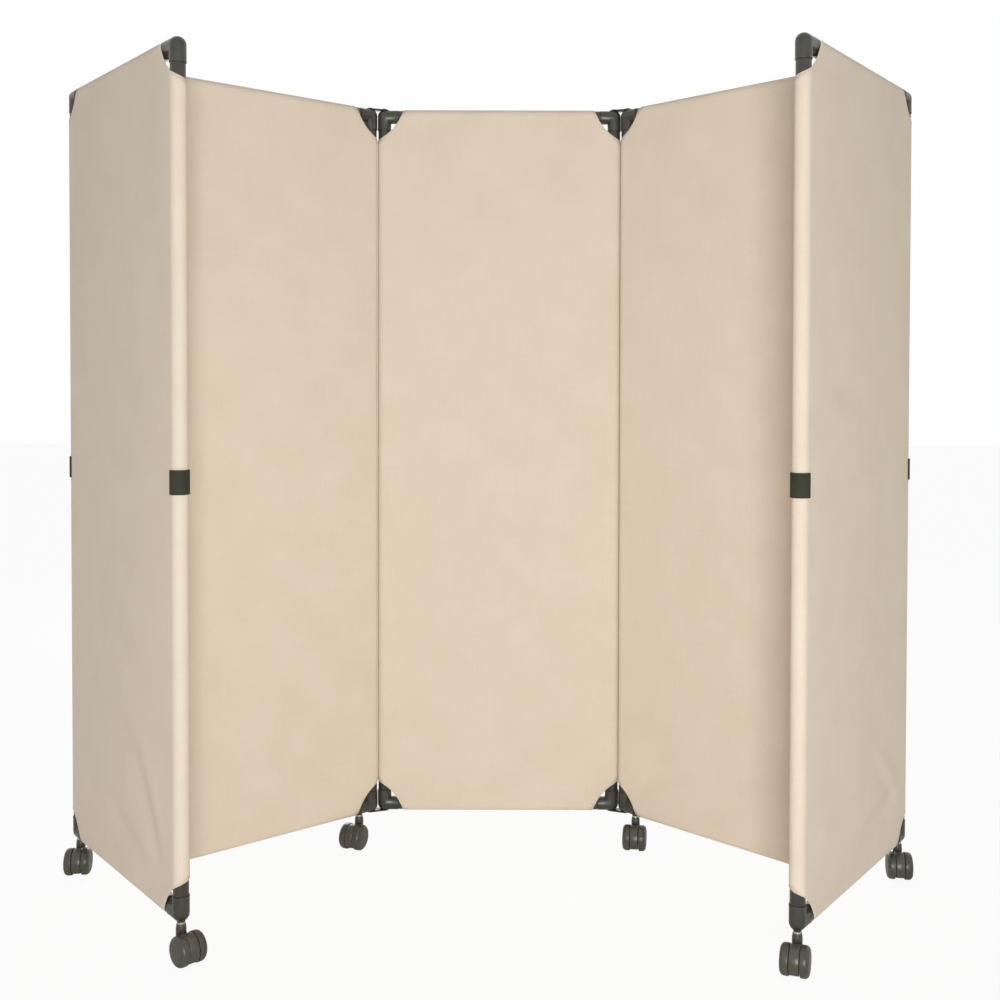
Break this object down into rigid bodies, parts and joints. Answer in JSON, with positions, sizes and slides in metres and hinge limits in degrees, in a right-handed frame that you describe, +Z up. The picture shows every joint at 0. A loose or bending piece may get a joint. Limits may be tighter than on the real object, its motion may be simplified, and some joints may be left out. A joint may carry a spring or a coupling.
{
  "type": "ward privacy screen",
  "caption": "Free-standing folding screen of hinged cloth panels on round tube frames, with a cross wing at each end and twin-wheel swivel casters.",
  "frame": {"origin": "on the floor, under the middle of the whole screen as it stands in the picture", "axes": "+X across the screen to the right as seen from the front, -Y towards the viewer, +Z up"},
  "size_m": [1.9752, 0.7418, 1.8298],
  "materials": {
    "cloth": "beige plain weave",
    "tube": "dark bronze powder coat",
    "elbow": "dark bronze, semi-gloss",
    "link": "dark bronze powder coat",
    "caster_body": "dark grey-green, semi-gloss",
    "wheel": "dark grey-green"
  },
  "bodies": {
    "centre_panel": {"centre_cover": "cloth", "centre_left_post": "tube", "centre_right_post": "tube", "centre_bottom_rail": "tube", "centre_top_rail": "tube", "centre_bottom_left_elbow": "elbow", "centre_top_left_elbow": "elbow", "centre_bottom_right_elbow": "elbow", "centre_top_right_elbow": "elbow"},
    "left_hinge_link": {"left_link": "link"},
    "left_panel": {"left_cover": "cloth", "left_end_post": "tube", "left_hinge_post": "tube", "left_bottom_rail": "tube", "left_top_rail": "tube", "left_bottom_end_elbow": "elbow", "left_top_end_elbow": "elbow", "left_bottom_hinge_elbow": "elbow", "left_top_hinge_elbow": "elbow"},
    "left_wing": {"left_wing_cover": "cloth", "left_wing_far_post": "tube", "left_wing_near_post": "tube", "left_wing_bottom_rail": "tube", "left_wing_top_rail": "tube", "left_wing_bottom_far_elbow": "elbow", "left_wing_top_far_elbow": "elbow", "left_wing_bottom_near_elbow": "elbow", "left_wing_top_near_elbow": "elbow"},
    "left_hinge_caster": {"left_hinge_caster_body": "caster_body"},
    "left_hinge_wheels": {"left_hinge_caster_wheels": "wheel"},
    "left_near_caster": {"left_near_caster_body": "caster_body"},
    "left_near_wheels": {"left_near_caster_wheels": "wheel"},
    "left_far_caster": {"left_far_caster_body": "caster_body"},
    "left_far_wheels": {"left_far_caster_wheels": "wheel"},
    "right_hinge_link": {"right_link": "link"},
    "right_panel": {"right_cover": "cloth", "right_hinge_post": "tube", "right_end_post": "tube", "right_bottom_rail": "tube", "right_top_rail": "tube", "right_bottom_hinge_elbow": "elbow", "right_top_hinge_elbow": "elbow", "right_bottom_end_elbow": "elbow", "right_top_end_elbow": "elbow"},
    "right_wing": {"right_wing_cover": "cloth", "right_wing_near_post": "tube", "right_wing_far_post": "tube", "right_wing_bottom_rail": "tube", "right_wing_top_rail": "tube", "right_wing_bottom_near_elbow": "elbow", "right_wing_top_near_elbow": "elbow", "right_wing_bottom_far_elbow": "elbow", "right_wing_top_far_elbow": "elbow"},
    "right_hinge_caster": {"right_hinge_caster_body": "caster_body"},
    "right_hinge_wheels": {"right_hinge_caster_wheels": "wheel"},
    "right_near_caster": {"right_near_caster_body": "caster_body"},
    "right_near_wheels": {"right_near_caster_wheels": "wheel"},
    "right_far_caster": {"right_far_caster_body": "caster_body"},
    "right_far_wheels": {"right_far_caster_wheels": "wheel"}
  },
  "joints": [
    {"name": "left_link_fold", "type": "hinge", "parent": "centre_panel", "child": "left_hinge_link", "pos_m": [-0.26776, 0.35446, 0], "axis": [0, 0, 1], "range_deg": [-109.9, 70.1]},
    {"name": "left_panel_fold", "type": "hinge", "parent": "left_hinge_link", "child": "left_panel", "pos_m": [-0.30114, 0.34238, 0], "axis": [0, 0, 1], "range_deg": [-109.9, 70.1]},
    {"name": "left_wing_turn", "type": "hinge", "parent": "left_panel", "child": "left_wing", "pos_m": [-0.73944, -0.0228, 0], "axis": [0, 0, -1], "range_deg": [-90, 90]},
    {"name": "left_hinge_swivel", "type": "hinge", "parent": "left_panel", "child": "left_hinge_caster", "pos_m": [-0.32726, 0.32061, 0], "axis": [0, 0, 1], "continuous": true},
    {"name": "left_hinge_roll", "type": "hinge", "parent": "left_hinge_caster", "child": "left_hinge_wheels", "pos_m": [-0.33683, 0.2943, 0.03], "axis": [0.9397, -0.342, 0], "continuous": true},
    {"name": "left_near_swivel", "type": "hinge", "parent": "left_wing", "child": "left_near_caster", "pos_m": [-0.59526, -0.27396, 0], "axis": [0, 0, 1], "continuous": true},
    {"name": "left_near_roll", "type": "hinge", "parent": "left_near_caster", "child": "left_near_wheels", "pos_m": [-0.57547, -0.29376, 0.03], "axis": [0.7071, 0.7071, 0], "continuous": true},
    {"name": "left_far_swivel", "type": "hinge", "parent": "left_wing", "child": "left_far_caster", "pos_m": [-0.96045, 0.16434, 0], "axis": [0, 0, 1], "continuous": true},
    {"name": "left_far_roll", "type": "hinge", "parent": "left_far_caster", "child": "left_far_wheels", "pos_m": [-0.95655, 0.13662, 0.03], "axis": [0.9903, 0.1392, 0], "continuous": true},
    {"name": "right_link_fold", "type": "hinge", "parent": "centre_panel", "child": "right_hinge_link", "pos_m": [0.30274, 0.35446, 0], "axis": [0, 0, 1], "range_deg": [-68.4, 111.6]},
    {"name": "right_panel_fold", "type": "hinge", "parent": "right_hinge_link", "child": "right_panel", "pos_m": [0.33575, 0.34139, 0], "axis": [0, 0, 1], "range_deg": [-68.4, 111.6]},
    {"name": "right_wing_turn", "type": "hinge", "parent": "right_panel", "child": "right_wing", "pos_m": [0.75163, -0.04914, 0], "axis": [0, 0, -1], "range_deg": [-83, 97]},
    {"name": "right_hinge_swivel", "type": "hinge", "parent": "right_panel", "child": "right_hinge_caster", "pos_m": [0.36054, 0.31812, 0], "axis": [0, 0, 1], "continuous": true},
    {"name": "right_hinge_roll", "type": "hinge", "parent": "right_hinge_caster", "child": "right_hinge_wheels", "pos_m": [0.35567, 0.29054, 0.03], "axis": [0.9848, -0.1736, 0], "continuous": true},
    {"name": "right_near_swivel", "type": "hinge", "parent": "right_wing", "child": "right_near_caster", "pos_m": [0.62351, -0.30886, 0], "axis": [0, 0, 1], "continuous": true},
    {"name": "right_near_roll", "type": "hinge", "parent": "right_near_caster", "child": "right_near_wheels", "pos_m": [0.61393, -0.33517, 0.03], "axis": [0.9397, -0.342, 0], "continuous": true},
    {"name": "right_far_swivel", "type": "hinge", "parent": "right_wing", "child": "right_far_caster", "pos_m": [0.96045, 0.15151, 0], "axis": [0, 0, 1], "continuous": true},
    {"name": "right_far_roll", "type": "hinge", "parent": "right_far_caster", "child": "right_far_wheels", "pos_m": [0.95655, 0.12379, 0.03], "axis": [0.9903, -0.1392, 0], "continuous": true}
  ]
}
